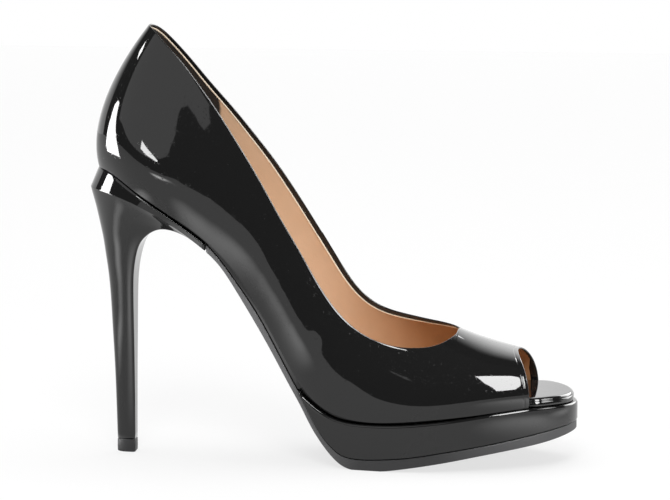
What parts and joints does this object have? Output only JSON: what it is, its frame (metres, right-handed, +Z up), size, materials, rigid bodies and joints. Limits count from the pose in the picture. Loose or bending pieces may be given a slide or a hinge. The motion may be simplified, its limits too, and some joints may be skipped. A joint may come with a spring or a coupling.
{
  "type": "peep toe pump",
  "caption": "Right peep toe pump of black patent leather with a covered platform, an arched waist and a slim stiletto heel.",
  "frame": {"origin": "on the floor, under the middle of the shoe's bounding box", "axes": "+X towards the toe, +Y towards the medial side, +Z up"},
  "size_m": [0.2146, 0.0783, 0.1895],
  "materials": {
    "patent": "high gloss black patent leather with a tan leather lining",
    "insole_cover": "tan leather sock, black patent at the toe",
    "platform_cover": "high gloss black patent leather",
    "outsole": "satin black leather",
    "heel_cover": "high gloss black patent leather",
    "top_lift": "matt black"
  },
  "bodies": {
    "root": {"upper": "patent", "insole": "insole_cover", "platform": "platform_cover", "outsole": "outsole", "heel": "heel_cover", "top_lift": "top_lift"}
  },
  "joints": []
}
